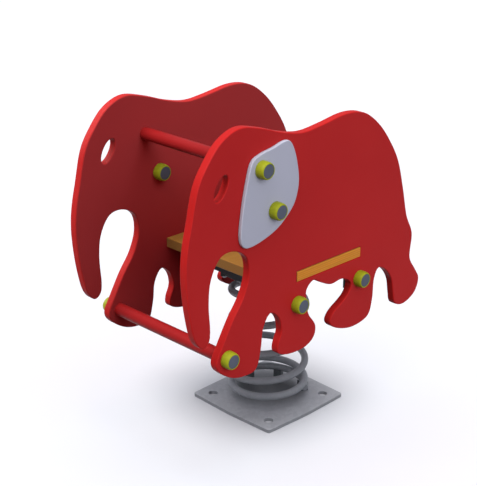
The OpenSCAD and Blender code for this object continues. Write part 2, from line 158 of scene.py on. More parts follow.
def boardFinish(name, look):
    grain = boardGrain
    material, tree, shader, where = startFinish(name, **{"Specular IOR Level": look["shine"]})
    tone = fromNoise(tree, noise(tree, where, grain["tone"], detail=3.0))
    colour = blendColour(tree, tone, look["dark"], look["light"])
    cutter = noise(tree, stretched(tree, where, grain["cutter"]), 1.0)  # lines left on the sides
    lines = fromNoise(tree, cutter, grain["cutterLeast"], 1.0)
    sides = calc(tree, "MULTIPLY", marked(tree, "edge"), lines, clamp=True)
    # the cut sides and rounding take the lighter edge colour, a painted highlight, broken by the cutter's lines
    colour = blendColour(tree, sides, colour, look["edge"])
    scuff = noise(tree, stretched(tree, where, grain["scuff"]), 1.0, detail=4.0, rough=0.6)
    scuff = spread(tree, scuff, grain["scuffFrom"], grain["scuffFull"], 0.0, look["scuff"])
    # scuffs take the same lighter colour: wear
    colour = blendColour(tree, scuff, colour, look["edge"])
    tree.links.new(colour, shader.inputs["Base Color"])
    peel = noise(tree, where, look["peel"], detail=3.0, rough=0.55)
    matt = calc(tree, "ADD", fromNoise(tree, peel, -grain["peelSwing"], grain["peelSwing"]), look["rough"])
    worn = calc(tree, "MULTIPLY", scuff, grain["scuffRough"])
    tree.links.new(calc(tree, "ADD", matt, worn), shader.inputs["Roughness"])
    bump(tree, shader, peel, look["peelDepth"])
    return material


# edge: the lighter colour of the sides and rounding, a painted highlight, and the scuffs' colour
redBoard = boardFinish("redBoard", {
    "dark": (0.355, 0.0135, 0.0145), "light": (0.385, 0.0155, 0.016), "edge": (0.43, 0.0105, 0.0088),
    "rough": 0.46, "shine": 0.06, "scuff": 0.08, "peel": 520.0, "peelDepth": 0.00025})
greyBoard = boardFinish("greyBoard", {
    "dark": (0.335, 0.34, 0.42), "light": (0.36, 0.365, 0.45), "edge": (0.46, 0.47, 0.54),
    "rough": 0.48, "shine": 0.25, "scuff": 0.10, "peel": 620.0, "peelDepth": 0.0002})


# finish of the seat: plywood, its layers showing on the sides

def woodFinish(name, look):
    material, tree, shader, where = startFinish(name, **{"Specular IOR Level": look["shine"]})
    bands = noise(tree, stretched(tree, where, look["bands"]), 1.0, detail=4.0, rough=0.6)
    fibres = {"Vector": stretched(tree, where, look["fibres"]), "Scale": 1.0, "Detail": 3.0,
              "Distortion": look["waver"]}
    grain = put(tree, "ShaderNodeTexNoise", fibres).outputs[0]
    tone = mixOf(tree, bands, look["bandShare"], grain, look["fibreShare"])
    tone = spread(tree, tone, *look["toneRange"], 0.0, 1.0)
    colour = blendColour(tree, tone, look["dark"], look["light"])
    height = put(tree, "ShaderNodeSeparateXYZ", {"Vector": where}).outputs["Z"]
    ply = calc(tree, "PINGPONG", calc(tree, "DIVIDE", height, look["ply"]), 1.0)
    layer = calc(tree, "MULTIPLY", spread(tree, ply, *look["plyRange"], 0.0, 1.0), look["plyShare"])
    sides = blendColour(tree, layer, look["sideLight"], look["sideDark"])
    sides = blendColour(tree, spread(tree, grain, *look["plyRange"], 0.0, look["streak"]), sides, look["dark"])
    # the front and rear faces take a darker colour: painted shade from the panels on both sides
    sides = blendColour(tree, marked(tree, "front"), sides, look["front"])
    tree.links.new(blendColour(tree, marked(tree, "edge"), colour, sides), shader.inputs["Base Color"])
    tree.links.new(fromNoise(tree, grain, *look["rough"]), shader.inputs["Roughness"])
    bump(tree, shader, grain, look["grainDepth"])
    return material


seatPly = woodFinish("seatPly", {
    "dark": (0.26, 0.118, 0.022), "light": (0.34, 0.164, 0.034), "sideLight": (0.60, 0.224, 0.0215),
    # front: the darker, painted-shade colour of the seat's front and rear faces
    "sideDark": (0.40, 0.142, 0.0145), "front": (0.225, 0.106, 0.028), "bands": (3, 26, 26), "bandShare": 0.6,
    "fibres": (9, 260, 260), "fibreShare": 0.4, "waver": 0.4, "toneRange": (0.36, 0.64), "ply": 0.0028,
    "plyRange": (0.35, 0.65), "plyShare": 0.5, "streak": 0.25, "rough": (0.34, 0.5), "shine": 0.12,
    "grainDepth": 0.00012})


# finish of the zinc-coated steel

zincGrain = {"bend": 0.8, "bendReach": 0.02, "leafShare": 0.45, "cloud": 14.0, "cloudShare": 0.55,
             "toneRange": (0.2, 0.8), "smoother": 0.08, "rougher": 0.1, "grit": 700.0}


def zincFinish(name, look):
    grain = zincGrain
    material, tree, shader, where = startFinish(name, Metallic=look["metal"])
    bent = noise(tree, where, look["spangle"] * grain["bend"])
    bent = calc(tree, "MULTIPLY", bent, grain["bendReach"])
    moved = put(tree, "ShaderNodeVectorMath", {0: where, 1: bent}, operation="ADD").outputs[0]
    cells = put(tree, "ShaderNodeTexVoronoi", {"Vector": moved, "Scale": look["spangle"]})
    leaf = put(tree, "ShaderNodeSeparateColor", {"Color": cells.outputs["Color"]}).outputs[0]
    cloud = noise(tree, where, grain["cloud"], detail=4.0, rough=0.6)
    tone = mixOf(tree, leaf, grain["leafShare"], cloud, grain["cloudShare"])
    light = spread(tree, tone, *grain["toneRange"], 0.0, 1.0)
    colour = blendColour(tree, light, look["dark"], look["light"])
    if "coilShade" in look:  # painted shade on the plate under the coil, made patchy by the cloud noise
        coilShade = look["coilShade"]
        away = put(tree, "ShaderNodeVectorMath", {0: where, 1: coilShade["middle"]}, operation="DISTANCE")
        reach = spread(tree, away.outputs["Value"], coilShade["inner"], coilShade["outer"], coilShade["most"], 0.0)
        shadeAmount = calc(tree, "MULTIPLY", reach, fromNoise(tree, cloud, coilShade["patchy"], 1.0))
        colour = blendColour(tree, shadeAmount, colour, coilShade["colour"])
    tree.links.new(colour, shader.inputs["Base Color"])
    rough = (look["rough"] - grain["smoother"], look["rough"] + grain["rougher"])
    tree.links.new(spread(tree, tone, *grain["toneRange"], *rough), shader.inputs["Roughness"])
    bump(tree, shader, noise(tree, where, grain["grit"], detail=3.0), look["gritDepth"])
    return material


springZinc = zincFinish("springZinc", {
    "dark": (0.36, 0.372, 0.395), "light": (0.43, 0.443, 0.47), "metal": 0.1, "rough": 0.5, "spangle": 90.0,
    "gritDepth": 0.00010})
plateZinc = zincFinish("plateZinc", {
    "dark": (0.43, 0.435, 0.46), "light": (0.53, 0.535, 0.56), "metal": 0.1, "rough": 0.5, "spangle": 90.0,
    "gritDepth": 0.00010,
    # painted shade: the plate's colour darkens under and inside the coil
    "coilShade": {"colour": (0.085, 0.095, 0.10), "middle": (-0.03, -0.03, 0.01), "inner": 0.075, "outer": 0.125,
              "most": 0.75, "patchy": 0.8}})
clampZinc = zincFinish("clampZinc", {
    "dark": (0.115, 0.13, 0.135), "light": (0.15, 0.168, 0.174), "metal": 0.1, "rough": 0.55, "spangle": 120.0,
    "gritDepth": 0.00010})
boltZinc = zincFinish("boltZinc", {
    "dark": (0.20, 0.205, 0.22), "light": (0.29, 0.295, 0.32), "metal": 0.6, "rough": 0.33, "spangle": 260.0,
    "gritDepth": 0.00006})


# finish of the coated steel and the moulded caps

coatGrain = {"tone": 9.0, "roughSwing": 0.06}


def coatFinish(name, look):
    material, tree, shader, where = startFinish(name, **{"Specular IOR Level": look["shine"]})
    tone = fromNoise(tree, noise(tree, where, coatGrain["tone"], detail=3.0))
    tree.links.new(blendColour(tree, tone, look["dark"], look["light"]), shader.inputs["Base Color"])
    peel = noise(tree, where, look["peel"])
    rough = (look["rough"] - coatGrain["roughSwing"], look["rough"] + coatGrain["roughSwing"])
    tree.links.new(fromNoise(tree, peel, *rough), shader.inputs["Roughness"])
    bump(tree, shader, peel, look["peelDepth"])
    return material


blackCoat = coatFinish("blackCoat", {
    "dark": (0.012, 0.012, 0.014), "light": (0.020, 0.020, 0.023), "rough": 0.45, "shine": 0.25,
    "peel": 900.0, "peelDepth": 0.00015})
redCoat = coatFinish("redCoat", {
    "dark": (0.260, 0.0095, 0.010), "light": (0.280, 0.011, 0.0115), "rough": 0.38, "shine": 0.08,
    "peel": 700.0, "peelDepth": 0.00012})
capYellow = coatFinish("capYellow", {
    "dark": (0.245, 0.265, 0.010), "light": (0.272, 0.292, 0.013), "rough": 0.42, "shine": 0.10,
    "peel": 1100.0, "peelDepth": 0.00006})
lidGrey = coatFinish("lidGrey", {
    "dark": (0.068, 0.077, 0.105), "light": (0.085, 0.094, 0.128), "rough": 0.45, "shine": 0.12,
    "peel": 1300.0, "peelDepth": 0.00008})
print("finishes: boards, wood, zinc and coats")


# meshes

def newPiece(name, mesh):
    piece = bpy.data.objects.new(name, mesh)
    mesh.name = name
    bpy.context.scene.collection.objects.link(piece)
    return piece


def closeMesh(bm, mesh):  # turns the faces outwards and writes the mesh
    bmesh.ops.recalc_face_normals(bm, faces=bm.faces)
    bm.to_mesh(mesh)
    bm.free()
    return mesh


def faceOut(mesh):
    bm = bmesh.new()
    bm.from_mesh(mesh)
    return closeMesh(bm, mesh)


def shade(mesh, sharpAngle=38):
    bm = bmesh.new()
    bm.from_mesh(mesh)
    limit = math.radians(sharpAngle)
    for edge in bm.edges:
        edge.smooth = edge.calc_face_angle(0.0) < limit
    for face in bm.faces:
        face.smooth = True
    bm.to_mesh(mesh)
    bm.free()


def evaluated(piece):  # a plain mesh of what the modifiers or the curve give
    view = bpy.context.evaluated_depsgraph_get()
    return bpy.data.meshes.new_from_object(piece.evaluated_get(view))


def flatten(piece):
    made = evaluated(piece)
    piece.modifiers.clear()
    piece.data = made
    made.name = piece.name
    return piece


def evenShade(piece, sharpAngle=38):
    shade(piece.data, sharpAngle)
    piece.modifiers.new("evenShade", "WEIGHTED_NORMAL").keep_sharp = True
    return flatten(piece)


def setOn(piece, body, slotName, *stoodFor):
    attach(piece, body)
    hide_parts(*stoodFor)
    return piece


def mergedNode(name, sameSpot=1e-6):
    bm = bmesh.new()
    bm.from_mesh(nodes[name].data)
    bmesh.ops.remove_doubles(bm, verts=bm.verts, dist=sameSpot)
    return bm


def solidBoxes(name):  # lowest and highest corner of each separate solid in a node
    bm = mergedNode(name)
    left, boxes = set(bm.verts), []
    while left:
        queue = [left.pop()]
        group = list(queue)
        while queue:
            for edge in queue.pop().link_edges:
                for vert in edge.verts:
                    if vert in left:
                        left.remove(vert)
                        queue.append(vert)
                        group.append(vert)
        low = Vector([min(v.co[i] for v in group) for i in range(3)])
        high = Vector([max(v.co[i] for v in group) for i in range(3)])
        boxes.append((low, high))
    bm.free()
    return sorted(boxes, key=lambda box: tuple(round(c, 5) for c in box[0]))


# boards: the node's outline, drawn finer as a flat curve with rounded edges

flatFace = {"level": 0.999, "onTop": 1e-5}  # how a board's upper face is told from the rest
edgeGain = 3.0  # how soon the rounding takes the sides' lighter colour, a painted highlight


def markEdges(mesh, axis):  # 0 on the flat faces, 1 on the cut sides and the rounding
    values = [min(1.0, edgeGain * (1.0 - abs(p.normal[axis]))) for p in mesh.polygons]
    layer = mesh.attributes.new("edge", "FLOAT", "FACE")
    layer.data.foreach_set("value", values)


def outlineLoops(name, axis):
    bm = mergedNode(name)
    top = max(v.co[axis] for v in bm.verts)
    low = min(v.co[axis] for v in bm.verts)
    flat = {f for f in bm.faces if abs(f.normal[axis]) > flatFace["level"]
            and abs(f.calc_center_median()[axis] - top) < flatFace["onTop"]}
    rim = {}
    for edge in bm.edges:
        if sum(f in flat for f in edge.link_faces) == 1:
            for a, b in (edge.verts, reversed(edge.verts)):
                rim.setdefault(a, []).append(b)
    across = [i for i in range(3) if i != axis]
    loops = []
    while rim:
        start = min(rim, key=lambda v: v.index)
        loop, last, here = [start], None, start
        while True:
            step = next(v for v in rim[here] if v is not last)
            if step is start:
                break
            loop.append(step)
            last, here = here, step
        for vert in loop:
            del rim[vert]
        loops.append([Vector([v.co[i] / mm for i in across]) for v in loop])
    bm.free()
    return loops, low / mm, top / mm


def smoothLoop(points, corner, parts):  # a smooth curve through the points, sharp only at the corners
    count = len(points)
    sharp, heading = [], []
    for i, here in enumerate(points):
        a, b = here - points[i - 1], points[(i + 1) % count] - here
        sharp.append(a.angle(b, 0.0) > math.radians(corner))
        # direction at each point, the nearer neighbour counting more
        heading.append((a * b.length / a.length + b * a.length / b.length) / (a.length + b.length))
    finer = []
    for i in range(count):
        after = (i + 1) % count
        b, c = points[i], points[after]
        run = c - b
        leave = run if sharp[i] else heading[i] * run.length
        arrive = run if sharp[after] else heading[after] * run.length
        for k in range(parts):
            t = k / parts
            finer.append(b * (2 * t ** 3 - 3 * t * t + 1) + leave * (t ** 3 - 2 * t * t + t)
                         + c * (3 * t * t - 2 * t ** 3) + arrive * (t ** 3 - t * t))
    return finer


def drawBoard(name, loops, thickness, sizes):
    curve = bpy.data.curves.new(name, "CURVE")
    curve.dimensions, curve.fill_mode = "2D", "BOTH"
    curve.bevel_depth, curve.bevel_resolution = sizes["rounding"], sizes["steps"]
    curve.extrude = thickness / 2 - sizes["rounding"]
    curve.offset = -sizes["rounding"]
    for loop in loops:
        points = smoothLoop(loop, sizes["corner"], sizes["parts"])
        spline = curve.splines.new("POLY")
        spline.points.add(len(points) - 1)
        for spot, point in zip(spline.points, points):
            spot.co = (point.x, point.y, 0, 1)
        spline.use_cyclic_u = True
    sketch = bpy.data.objects.new(name + "Sketch", curve)
    bpy.context.scene.collection.objects.link(sketch)
    mesh = evaluated(sketch)
    bpy.data.objects.remove(sketch)
    return mesh


def makeBoard(name, node, axis, finish, sizes, sameSpot=2e-6):
    loops, low, high = outlineLoops(node, axis)
    drawn = drawBoard(name, loops, high - low, sizes)
    bm = bmesh.new()
    bm.from_mesh(drawn)
    middle = (low + high) / 2
    for vert in bm.verts:
        x, y, depth = vert.co
        spot = [x, y]
        spot.insert(axis, depth + middle)
        vert.co = Vector(spot) * mm
    bmesh.ops.remove_doubles(bm, verts=bm.verts, dist=sameSpot)
    closeMesh(bm, drawn)
    markEdges(drawn, axis)
    drawn.materials.clear()
    drawn.materials.append(finish)
    return evenShade(newPiece(name, drawn))


panelBoard = {"rounding": 3.0, "steps": 3, "corner": 60, "parts": 3}
earBoard = {"rounding": 2.6, "steps": 3, "corner": 60, "parts": 3}
seatBoard = {"rounding": 2.5, "steps": 3, "corner": 30, "parts": 1}
steelPlate = {"rounding": 0.8, "steps": 2, "corner": 45, "parts": 2}
for side in ("left", "right"):
    panel = makeBoard(side + "Panel", side + "_panel", yAxis, redBoard, panelBoard)
    setOn(panel, "rider", "panel_red", side + "_panel")
    ear = makeBoard(side + "Ear", side + "_ear", yAxis, greyBoard, earBoard)
    setOn(ear, "rider", "ear_grey", side + "_ear")
seat = makeBoard("seatBoard", "seat_board", zAxis, seatPly, seatBoard)
paintedShadeFaces = seat.data.attributes.new("front", "FLOAT", "FACE")  # front and rear faces: painted shade, darker than the tabs' ends
paintedShadeFaces.data.foreach_set("value", [abs(face.normal.x) for face in seat.data.polygons])
setOn(seat, "rider", "seat_wood", "seat_board")
plate = makeBoard("basePlate", "base_plate", zAxis, plateZinc, steelPlate)
setOn(plate, "base", "galvanised", "base_plate")
head = makeBoard("headPlate", "head_plate", zAxis, blackCoat, steelPlate)
setOn(head, "rider", "frame_black", "head_plate")
print("boards: panels, ears, seat and plates")


# steel blocks and rails: the node's own shape with its sharp edges eased

blockEdges = {"flat": 0.5, "sharp": 40, "steps": 2, "shade": 30}  # angles in degrees
slight, full = 0.8, 1.2  # rounding in mm


def easeEdges(name, node, finish, rounding):
    bm = mergedNode(node)
    bmesh.ops.dissolve_limit(bm, angle_limit=math.radians(blockEdges["flat"]), verts=bm.verts, edges=bm.edges)
    limit = math.radians(blockEdges["sharp"])
    sharp = [e for e in bm.edges if len(e.link_faces) == 2 and e.calc_face_angle(0.0) > limit]
    bmesh.ops.bevel(bm, geom=sharp, offset=rounding * mm, segments=blockEdges["steps"], profile=0.5,
                    affect="EDGES", clamp_overlap=True, loop_slide=True)
    mesh = closeMesh(bm, bpy.data.meshes.new(name))
    mesh.materials.append(finish)
    return evenShade(newPiece(name, mesh), blockEdges["shade"])


setOn(easeEdges("basePads", "base_pads", clampZinc, slight), "base", "galvanised", "base_pads")
setOn(easeEdges("basePacker", "base_packer", clampZinc, slight), "base", "galvanised", "base_packer")
setOn(easeEdges("baseClamp", "base_clamp", clampZinc, full), "base", "galvanised", "base_clamp")
setOn(easeEdges("headClamps", "head_clamps", blackCoat, full), "rider", "frame_black", "head_clamps")
setOn(easeEdges("frontRail", "front_rail", blackCoat, full), "rider", "frame_black", "front_rail")
setOn(easeEdges("rearRail", "rear_rail", blackCoat, full), "rider", "frame_black", "rear_rail")
print("steel blocks and rails")


# node trees for what follows a rule or repeats

def startTree(name, inputs):
    tree = bpy.data.node_groups.new(name, "GeometryNodeTree")
    tree.interface.new_socket("Geometry", in_out="INPUT", socket_type="NodeSocketGeometry")
    for title, kind in inputs.items():
        tree.interface.new_socket(title, in_out="INPUT", socket_type="NodeSocket" + kind)
    tree.interface.new_socket("Geometry", in_out="OUTPUT", socket_type="NodeSocketGeometry")
    tree.is_modifier = True
    return tree, put(tree, "NodeGroupInput").outputs


def endTree(tree, given, shape):
    whole = put(tree, "GeometryNodeRealizeInstances", {"Geometry": shape}).outputs[0]
    done = put(tree, "GeometryNodeSetMaterial", {"Geometry": whole, "Material": given["Finish"]}).outputs[0]
    put(tree, "NodeGroupOutput", {"Geometry": done})
    return tree


def grow(name, tree, values, start=None):
    piece = newPiece(name, start or bpy.data.meshes.new(name))
    modifier = piece.modifiers.new("grow", "NODES")
    modifier.node_group = tree
    for item in tree.interface.items_tree:
        if item.in_out == "INPUT" and item.name in values:
            modifier[item.identifier] = values[item.name]
    return flatten(piece)


# spring: a wire on a coil whose rise per turn eases in at the foot and out at the head

def springTree():
    sizes = ("From turn", "To turn", "Turns", "Wire", "Coil radius", "Start angle", "Foot height", "Foot pitch",
             "Work pitch", "Foot turns", "Work ramp", "Head flat", "Head ramp")
    inputs = {title: "Float" for title in sizes}
    tree, given = startTree("coilSpring", {**inputs, "Rings": "Int", "Sides": "Int", "Finish": "Material"})

    def risen(turn, start, ramp):  # height gained where the pitch has eased in over a ramp
        t = calc(tree, "DIVIDE", calc(tree, "SUBTRACT", turn, start), ramp)
        c = calc(tree, "ADD", t, 0.0, clamp=True)
        early = calc(tree, "SUBTRACT", calc(tree, "POWER", c, 3.0),
                     calc(tree, "MULTIPLY", calc(tree, "POWER", c, 4.0), 0.5))
        late = calc(tree, "MAXIMUM", calc(tree, "SUBTRACT", t, 1.0), 0.0)
        return calc(tree, "MULTIPLY", calc(tree, "ADD", early, late), ramp)

    line = put(tree, "GeometryNodeMeshLine", {"Count": given["Rings"], "Offset": (0, 0, mm)}).outputs[0]
    curve = put(tree, "GeometryNodeMeshToCurve", {"Mesh": line}).outputs[0]
    index = put(tree, "GeometryNodeInputIndex").outputs[0]
    share = calc(tree, "DIVIDE", index, calc(tree, "SUBTRACT", given["Rings"], 1.0))
    span = calc(tree, "SUBTRACT", given["To turn"], given["From turn"])
    turn = calc(tree, "ADD", given["From turn"], calc(tree, "MULTIPLY", share, span))
    capped = calc(tree, "MINIMUM", turn, given["Turns"])
    held = calc(tree, "MAXIMUM", capped, 0.0)
    around = calc(tree, "MULTIPLY", given["Coil radius"], math.tau)
    past = calc(tree, "MULTIPLY", calc(tree, "SUBTRACT", turn, held), around)  # straight run at an end
    angle = calc(tree, "ADD", given["Start angle"], calc(tree, "MULTIPLY", held, math.tau))
    cosine, sine = calc(tree, "COSINE", angle), calc(tree, "SINE", angle)
    x = calc(tree, "SUBTRACT", calc(tree, "MULTIPLY", given["Coil radius"], cosine),
             calc(tree, "MULTIPLY", past, sine))
    y = calc(tree, "ADD", calc(tree, "MULTIPLY", given["Coil radius"], sine),
             calc(tree, "MULTIPLY", past, cosine))
    foot = calc(tree, "MULTIPLY", given["Foot pitch"], capped)
    gain = calc(tree, "SUBTRACT", given["Work pitch"], given["Foot pitch"])
    work = calc(tree, "MULTIPLY", gain, risen(held, given["Foot turns"], given["Work ramp"]))
    closing = calc(tree, "SUBTRACT", given["Turns"], calc(tree, "ADD", given["Head flat"], given["Head ramp"]))
    head = calc(tree, "MULTIPLY", given["Work pitch"], risen(held, closing, given["Head ramp"]))
    z = calc(tree, "ADD", calc(tree, "ADD", given["Foot height"], foot), calc(tree, "SUBTRACT", work, head))
    spot = put(tree, "ShaderNodeCombineXYZ", {"X": x, "Y": y, "Z": z}).outputs[0]
    coil = put(tree, "GeometryNodeSetPosition", {"Geometry": curve, "Position": spot}).outputs[0]
    coil = put(tree, "GeometryNodeSetCurveNormal", {"Curve": coil}, mode="Z_UP").outputs[0]
    radius = calc(tree, "MULTIPLY", given["Wire"], 0.5)
    section = put(tree, "GeometryNodeCurvePrimitiveCircle", {"Resolution": given["Sides"], "Radius": radius})
    wire = put(tree, "GeometryNodeCurveToMesh", {"Curve": coil, "Profile Curve": section.outputs[0],
               "Fill Caps": True})
    return endTree(tree, given, wire.outputs[0])


spring = {"Turns": 5.925, "Wire": 0.020, "Coil radius": 0.103, "Start angle": math.radians(135),
          "Foot height": 0.0398, "Work pitch": 0.085, "Foot turns": 0.37, "Work ramp": 1.88, "Head flat": 0.6,
          "Head ramp": 0.3, "Sides": 24, "Finish": springZinc}
footGap = 0.0017  # between the closed first turn and the turn over it
opening = (1 - spring["Foot turns"]) / spring["Work ramp"]
openShare = spring["Work ramp"] * (opening ** 3 - opening ** 4 / 2)
spring["Foot pitch"] = (spring["Wire"] + footGap - spring["Work pitch"] * openShare) / (1 - openShare)
springSplit = 3.0  # turn at which the foot's piece meets the head's
ringsPerTurn = 96
coilTree = springTree()
straight = spring["Wire"] / (math.tau * spring["Coil radius"])  # run past each end, in turns
springParts = {"springFoot": (-straight, springSplit), "springHead": (springSplit, spring["Turns"] + straight)}
for name, (first, last) in springParts.items():
    rings = round((last - first) * ringsPerTurn) + 1
    coil = grow(name, coilTree, {**spring, "From turn": first, "To turn": last, "Rings": rings})
    shade(faceOut(coil.data))
    if name == "springFoot":
        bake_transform(coil)
    else:
        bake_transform(coil)
    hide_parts("coil_spring")
print("spring: %.3f turns" % spring["Turns"])


# bars: tubes with rounded lips

def barTree():
    inputs = {"Length": "Float", "Diameter": "Float", "Wall": "Float", "Lip": "Float", "Lip steps": "Int",
              "Place": "Vector", "Sides": "Int", "Finish": "Material"}
    tree, given = startTree("tubeBar", inputs)
    middle = calc(tree, "MULTIPLY", calc(tree, "SUBTRACT", given["Diameter"], given["Wall"]), 0.5)
    path = put(tree, "GeometryNodeCurvePrimitiveCircle", {"Resolution": given["Sides"], "Radius": middle})
    wall = put(tree, "GeometryNodeCurvePrimitiveQuadrilateral", {"Width": given["Wall"],
               "Height": given["Length"]})
    lips = put(tree, "GeometryNodeFilletCurve", {"Curve": wall.outputs[0], "Count": given["Lip steps"],
               "Radius": given["Lip"]}, mode="POLY")
    tube = put(tree, "GeometryNodeCurveToMesh", {"Curve": path.outputs[0], "Profile Curve": lips.outputs[0]})
    laid = put(tree, "GeometryNodeTransform", {"Geometry": tube.outputs[0], "Translation": given["Place"],
               "Rotation": (math.radians(90), 0, 0)})
    return endTree(tree, given, laid.outputs[0])


barTube = {"Wall": 0.003, "Lip": 0.0009, "Lip steps": 3, "Sides": 64, "Finish": redCoat}
tubeTree = barTree()
for node, name in (("hand_bar", "handBar"), ("foot_bar", "footBar")):
    low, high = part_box(node)
    sizes = {"Length": high.y - low.y, "Diameter": high.z - low.z, "Place": (low + high) / 2}
    bar = grow(name, tubeTree, {**barTube, **sizes})
    faceOut(bar.data)
    evenShade(bar)
    setOn(bar, "rider", "bar_red", node)
print("bars: two")


# one piece put on many points, each with its own aim

def placeTree():
    inputs = {"Piece": "Object", "Turn by": "Float", "Seed": "Int", "Finish": "Material"}
    tree, given = startTree("placePieces", inputs)
    source = put(tree, "GeometryNodeObjectInfo", {"Object": given["Piece"], "As Instance": True})
    aim = put(tree, "GeometryNodeInputNamedAttribute", {"Name": "aim"}, data_type="FLOAT_VECTOR")
    facing = put(tree, "FunctionNodeAlignRotationToVector", {"Vector": aim.outputs[0]}, axis="Z")
    angle = chance(tree, 0.0, given["Turn by"], given["Seed"])
    spin = put(tree, "FunctionNodeAxisAngleToRotation", {"Axis": (0, 0, 1), "Angle": angle})
    turned = put(tree, "FunctionNodeRotateRotation", {"Rotation": facing.outputs[0],
                 "Rotate By": spin.outputs[0]}, rotation_space="LOCAL")
    copies = put(tree, "GeometryNodeInstanceOnPoints", {"Points": given["Geometry"],
                 "Instance": source.outputs["Geometry"], "Rotation": turned.outputs[0]})
    return endTree(tree, given, copies.outputs[0])


piecesTree = placeTree()


def placePieces(name, source, places, finish, turnBy=0.0, seed=1):
    spots = bpy.data.meshes.new(name)
    spots.from_pydata([tuple(spot) for spot, aim in places], [], [])
    layer = spots.attributes.new("aim", "FLOAT_VECTOR", "POINT")
    layer.data.foreach_set("vector", [c for spot, aim in places for c in aim])
    values = {"Piece": source, "Turn by": turnBy, "Seed": seed, "Finish": finish}
    made = grow(name, piecesTree, values, spots)
    bpy.data.objects.remove(source)
    return made


def ringsMesh(name, rings, loop=False, caps=False, sharpAngle=32):
    bm = bmesh.new()
    rows = [[bm.verts.new(point) for point in ring] for ring in rings]
    count = len(rows[0])
    pairs = list(zip(rows, rows[1:])) + ([(rows[-1], rows[0])] if loop else [])
    for a, b in pairs:
        for i in range(count):
            bm.faces.new((a[i], a[(i + 1) % count], b[(i + 1) % count], b[i]))
    if caps:
        bm.faces.new(rows[0])
        bm.faces.new(rows[-1])
    mesh = closeMesh(bm, bpy.data.meshes.new(name))
    shade(mesh, sharpAngle)
    return newPiece(name, mesh)


def ringAt(radius, z, steps):
    angles = [math.tau * i / steps for i in range(steps)]
    return [(radius * math.cos(a) * mm, radius * math.sin(a) * mm, z * mm) for a in angles]


def lathe(name, profile, steps=48, loop=True, caps=False):
    return ringsMesh(name, [ringAt(r, z, steps) for r, z in profile], loop, caps)


def roundCorner(corner, radius, start, end, steps=4):  # an arc in a lathe profile
    made = []
    for k in range(steps + 1):
        a = math.radians(start + (end - start) * k / steps)
        made.append((corner[0] + radius * math.cos(a), corner[1] + radius * math.sin(a)))
    return made


# caps and lids over the bolt ends

cap = {"radius": 22.5, "wall": 10.0, "height": 24.0, "rim": 18.8, "mouth": 17.6, "lidSeat": 19.4, "room": 11.5,
       "floor": 4.0, "hole": 5.5, "foot": 0.8, "lip": 0.5, "shoulderSteps": 12, "shoulderTurn": 86, "seed": 3,
       "outerFrom": 195.0}
lid = {"radius": 17.5, "bottom": 19.4, "edge": 23.4, "chamfer": 0.4, "crown": 24.0, "crownRadius": 15.5,
       "crownDrop": 0.08, "crownEase": 1.2, "pole": 2.0, "seed": 5}


def capPlaces(*names):
    places = []
    for name in names:
        for low, high in solidBoxes(name):
            side = 1 if low.y + high.y > 0 else -1
            middle = (low + high) / 2
            outside = abs(middle.y) > cap["outerFrom"] * mm  # on the panel's outer face
            aim = side if outside else -side
            foot = Vector((middle.x, low.y if aim > 0 else high.y, middle.z))
            places.append((foot, Vector((0, aim, 0))))
    return places


capProfile = [(cap["hole"], 0.0)]
capProfile += roundCorner((cap["radius"] - cap["foot"], cap["foot"]), cap["foot"], -90, 0)
for k in range(cap["shoulderSteps"] + 1):
    a = math.radians(cap["shoulderTurn"] * k / cap["shoulderSteps"])
    capProfile.append((cap["rim"] + (cap["radius"] - cap["rim"]) * math.cos(a),
                       cap["wall"] + (cap["height"] - cap["wall"]) * math.sin(a)))
capProfile += roundCorner((cap["mouth"] + cap["lip"], cap["height"] - cap["lip"]), cap["lip"], 90, 180)
capProfile += [(cap["mouth"], cap["lidSeat"]), (cap["room"], cap["lidSeat"]), (cap["room"], cap["floor"]),
               (cap["hole"], cap["floor"])]
lidProfile = [(lid["pole"], lid["bottom"]), (lid["radius"], lid["bottom"]),
              (lid["radius"], lid["edge"] - lid["chamfer"]), (lid["radius"] - lid["chamfer"], lid["edge"]),
              (lid["crownRadius"], lid["crown"] - lid["crownDrop"]),
              (lid["crownRadius"] - lid["crownEase"], lid["crown"]), (lid["pole"], lid["crown"])]
capSides = ("left_cap_rings", "right_cap_rings")
lidSides = ("left_cap_lids", "right_cap_lids")
places = capPlaces(*capSides)
caps = placePieces("boltCaps", lathe("capSource", capProfile), places, capYellow, math.tau, cap["seed"])
setOn(caps, "rider", "cap_yellow", *capSides)
lidShape = lathe("lidSource", lidProfile, loop=False, caps=True)
lids = placePieces("capLids", lidShape, places, lidGrey, math.tau, lid["seed"])
setOn(lids, "rider", "lid_grey", *lidSides)
print("caps: %d" % len(places))


# bolts, nuts and washers

m8 = {"thread": 8.0, "across": 13.0, "head": 5.3, "nut": 6.5, "pitch": 1.25}
m10 = {"thread": 10.0, "across": 17.0, "head": 6.4, "nut": 8.0, "pitch": 1.5}
hexagon = {"steps": 48, "level": 0.96, "cone": 30}  # level is the share of the flats that isn't turned down
boltEnd = {"threadDepth": 0.55, "taper": 0.9, "plain": 1.0}
nutHole = {"slack": 0.1, "chamfer": 0.6}


def hexRing(size, height, drop):  # one end of a hexagon, its corners turned down by a cone
    flat = size["across"] / 2
    slope = math.tan(math.radians(hexagon["cone"]))
    ring = []
    for i in range(hexagon["steps"]):
        a = math.tau * i / hexagon["steps"]
        radius = flat / math.cos((a % (math.pi / 3)) - math.pi / 6)
        z = height - drop * max(0.0, radius - hexagon["level"] * flat) * slope
        ring.append((radius * math.cos(a) * mm, radius * math.sin(a) * mm, z * mm))
    return ring


def roundRing(radius, z):
    return ringAt(radius, z, hexagon["steps"])


